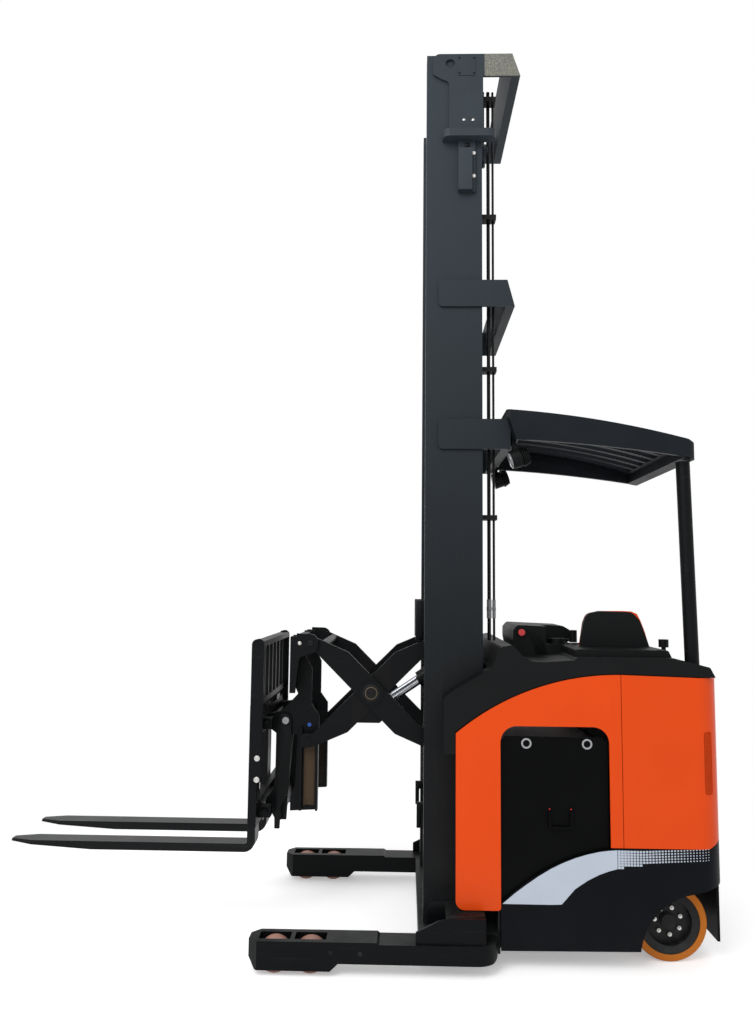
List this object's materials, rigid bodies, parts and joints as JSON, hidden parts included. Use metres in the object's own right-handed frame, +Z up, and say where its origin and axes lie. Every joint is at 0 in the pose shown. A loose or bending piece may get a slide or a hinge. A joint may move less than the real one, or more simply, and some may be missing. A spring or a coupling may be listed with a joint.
{
  "type": "stand-on reach truck",
  "caption": "Stand-on reach truck with a three-stage mast, a pantograph reach mechanism, tilting side-shift forks, straddle legs and a side-stance operator bay.",
  "frame": {"origin": "middle of the overall length and width, on the floor", "axes": "+X from the forks towards the drive end, +Y towards the far side of the truck, +Z up"},
  "size_m": [3.437, 1.2712, 4.437],
  "materials": {
    "frame_black": "matt black paint",
    "mast_grey": "charcoal paint",
    "panel_orange": "orange gloss paint",
    "cover_black": "black moulded plastic",
    "polyurethane": "amber polyurethane",
    "load_tread": "worn pinkish brown polyurethane",
    "chrome": "polished rod",
    "steel": "steel",
    "pad": "black upholstery",
    "hose": "black rubber hose",
    "stop_red": "red button",
    "mat": "ribbed rubber mat",
    "battery_case": "grey steel battery case"
  },
  "bodies": {
    "chassis": {"chassis_frame": "frame_black", "leg_near": "frame_black", "leg_far": "frame_black", "front_panel_near": "panel_orange", "front_panel_far": "panel_orange", "rear_panel_near": "panel_orange", "rear_panel_far": "panel_orange", "lower_skirt": "cover_black", "battery_gate_near": "cover_black", "battery_gate_far": "cover_black", "battery": "battery_case", "top_cover": "cover_black", "backrest_base": "cover_black", "backrest_shell": "panel_orange", "backrest_pad": "pad", "console": "cover_black", "stop_button": "stop_red", "control_handle": "cover_black", "floor_mat": "mat", "overhead_guard": "frame_black", "guard_post": "frame_black", "work_light_near": "cover_black", "work_light_far": "cover_black", "mast_rail_near": "mast_grey", "mast_rail_far": "mast_grey", "mast_hoop_head": "mast_grey", "mast_hoop_middle": "mast_grey", "mast_hoop_guard": "mast_grey", "lift_cylinder_barrels": "frame_black", "mast_lines": "hose"},
    "drive_unit": {"drive_unit": "steel"},
    "drive_wheel": {"drive_rim": "frame_black", "drive_tyre": "polyurethane"},
    "caster_fork": {"caster_fork": "frame_black"},
    "caster_wheels": {"caster_wheels": "polyurethane"},
    "load_wheel_front_near": {"load_wheel_front_near": "load_tread"},
    "load_wheel_rear_near": {"load_wheel_rear_near": "load_tread"},
    "load_wheel_front_far": {"load_wheel_front_far": "load_tread"},
    "load_wheel_rear_far": {"load_wheel_rear_far": "load_tread"},
    "steering_tiller": {"steering_tiller": "cover_black"},
    "mast_middle": {"mast_middle": "mast_grey"},
    "mast_inner": {"mast_inner": "mast_grey"},
    "free_lift_ram": {"free_lift_ram": "steel"},
    "lift_carriage": {"lift_carriage": "frame_black"},
    "scissor_inner": {"scissor_arms_inner": "frame_black"},
    "scissor_outer": {"scissor_arms_outer": "frame_black"},
    "reach_frame": {"reach_frame": "frame_black"},
    "reach_barrels": {"reach_cylinder_barrels": "frame_black"},
    "reach_rods": {"reach_cylinder_rods": "chrome"},
    "tilt_frame": {"tilt_frame": "frame_black"},
    "fork_carriage": {"fork_carriage": "frame_black", "load_backrest": "frame_black", "load_backrest_slats": "frame_black", "fork_near": "frame_black", "fork_far": "frame_black"}
  },
  "joints": [
    {"name": "drive_steering", "type": "hinge", "parent": "chassis", "child": "drive_unit", "pos_m": [1.4885, -0.357, 0.3], "axis": [0, 0, 1], "range_deg": [-90, 90]},
    {"name": "drive_wheel_spin", "type": "hinge", "parent": "drive_unit", "child": "drive_wheel", "pos_m": [1.4885, -0.3775, 0.173], "axis": [0, 1, 0], "continuous": true},
    {"name": "caster_swivel", "type": "hinge", "parent": "chassis", "child": "caster_fork", "pos_m": [1.5, 0.33, 0.2], "axis": [0, 0, 1], "continuous": true},
    {"name": "caster_wheel_spin", "type": "hinge", "parent": "caster_fork", "child": "caster_wheels", "pos_m": [1.545, 0.33, 0.089], "axis": [0, 1, 0], "continuous": true},
    {"name": "load_wheel_front_near_spin", "type": "hinge", "parent": "chassis", "child": "load_wheel_front_near", "pos_m": [-0.31, -0.5706, 0.07], "axis": [0, 1, 0], "continuous": true},
    {"name": "load_wheel_rear_near_spin", "type": "hinge", "parent": "chassis", "child": "load_wheel_rear_near", "pos_m": [-0.15, -0.5706, 0.07], "axis": [0, 1, 0], "continuous": true},
    {"name": "load_wheel_front_far_spin", "type": "hinge", "parent": "chassis", "child": "load_wheel_front_far", "pos_m": [-0.31, 0.5706, 0.07], "axis": [0, 1, 0], "continuous": true},
    {"name": "load_wheel_rear_far_spin", "type": "hinge", "parent": "chassis", "child": "load_wheel_rear_far", "pos_m": [-0.15, 0.5706, 0.07], "axis": [0, 1, 0], "continuous": true},
    {"name": "tiller_turn", "type": "hinge", "parent": "chassis", "child": "steering_tiller", "pos_m": [1.056, -0.05, 1.44], "axis": [0, 0, 1], "range_deg": [-90, 90]},
    {"name": "mast_middle_lift", "type": "slide", "parent": "chassis", "child": "mast_middle", "axis": [0, 0, 1], "range_m": [0, 2.85]},
    {"name": "mast_inner_lift", "type": "slide", "parent": "mast_middle", "child": "mast_inner", "axis": [0, 0, 1], "range_m": [0, 2.85]},
    {"name": "carriage_lift", "type": "slide", "parent": "mast_inner", "child": "lift_carriage", "axis": [0, 0, 1], "range_m": [-0.36, 2.6]},
    {"name": "free_lift_ram_slide", "type": "slide", "parent": "mast_inner", "child": "free_lift_ram", "axis": [0, 0, 1], "range_m": [-0.18, 1.3]},
    {"name": "reach_fold", "type": "hinge", "parent": "lift_carriage", "child": "scissor_inner", "pos_m": [0.4045, 0, 1.426], "axis": [0, -1, 0], "range_deg": [0, 38]},
    {"name": "reach_cross", "type": "hinge", "parent": "scissor_inner", "child": "scissor_outer", "pos_m": [0.09625, 0, 1.18383], "axis": [0, -1, 0], "range_deg": [-76, 0]},
    {"name": "reach_frame_level", "type": "hinge", "parent": "scissor_outer", "child": "reach_frame", "pos_m": [-0.212, 0, 1.426], "axis": [0, -1, 0], "range_deg": [0, 38]},
    {"name": "reach_cylinder_swing", "type": "hinge", "parent": "lift_carriage", "child": "reach_barrels", "pos_m": [0.503, 0, 1.331], "axis": [0, -1, 0], "range_deg": [0, 38.79]},
    {"name": "reach_rod_slide", "type": "slide", "parent": "reach_barrels", "child": "reach_rods", "axis": [-0.8311, 0, -0.5561], "range_m": [-0.09012, 0]},
    {"name": "fork_tilt", "type": "hinge", "parent": "reach_frame", "child": "tilt_frame", "pos_m": [-0.33, 0, 1.037], "axis": [0, 1, 0], "range_deg": [-2, 4]},
    {"name": "side_shift", "type": "slide", "parent": "tilt_frame", "child": "fork_carriage", "axis": [0, 1, 0], "range_m": [-0.05, 0.05]}
  ],
  "couplings": [
    {"joint": "mast_inner_lift", "follows": "mast_middle_lift", "ratio": 1},
    {"joint": "free_lift_ram_slide", "follows": "carriage_lift", "ratio": 0.5},
    {"joint": "reach_cross", "follows": "reach_fold", "ratio": -2},
    {"joint": "reach_frame_level", "follows": "reach_fold", "ratio": 1},
    {"joint": "reach_cylinder_swing", "follows": "reach_fold", "ratio": 1.0209},
    {"joint": "reach_rod_slide", "follows": "reach_fold", "m_per_rad": -0.13588},
    {"joint": "tiller_turn", "follows": "drive_steering", "ratio": 1}
  ]
}
